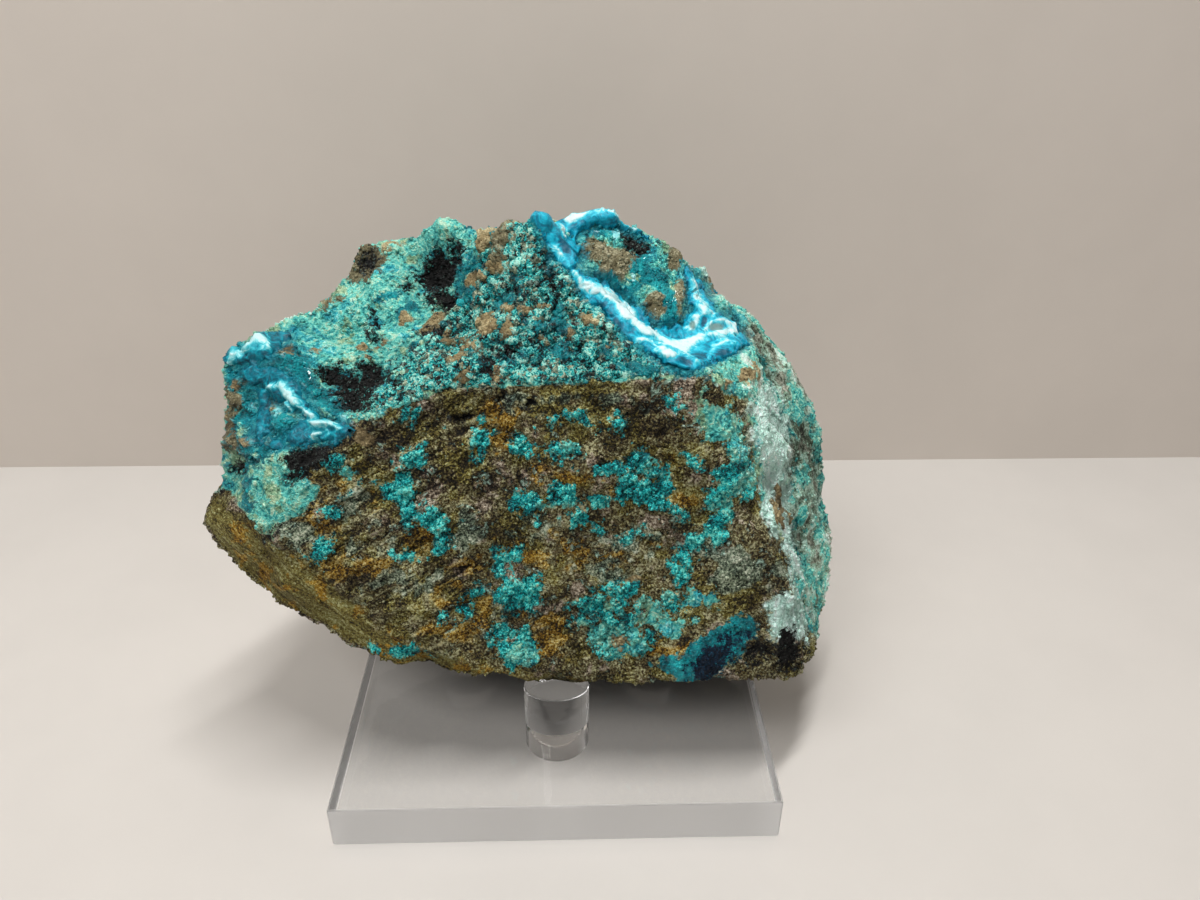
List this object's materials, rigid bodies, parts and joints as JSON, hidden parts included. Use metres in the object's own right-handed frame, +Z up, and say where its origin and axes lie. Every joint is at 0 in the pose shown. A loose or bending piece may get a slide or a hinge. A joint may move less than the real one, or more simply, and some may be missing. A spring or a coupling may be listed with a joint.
{
  "type": "chrysocolla specimen",
  "caption": "Rough chrysocolla rock with turquoise crusts and a glossy blue vein, resting on a clear acrylic stand with slanted pegs.",
  "frame": {"origin": "centre of the stand base's underside", "axes": "+Z up, +X to the right along the stone's longest side, -Y toward the viewer"},
  "size_m": [0.1267, 0.0882, 0.1065],
  "materials": {
    "rock": "rough granular brown matrix with mint and turquoise crusts and a glossy sky-blue vein",
    "acrylic": "clear polished cast acrylic"
  },
  "bodies": {
    "root": {"stone": "rock", "stand_base": "acrylic", "peg_front": "acrylic", "peg_back_left": "acrylic", "peg_back_right": "acrylic"}
  },
  "joints": []
}
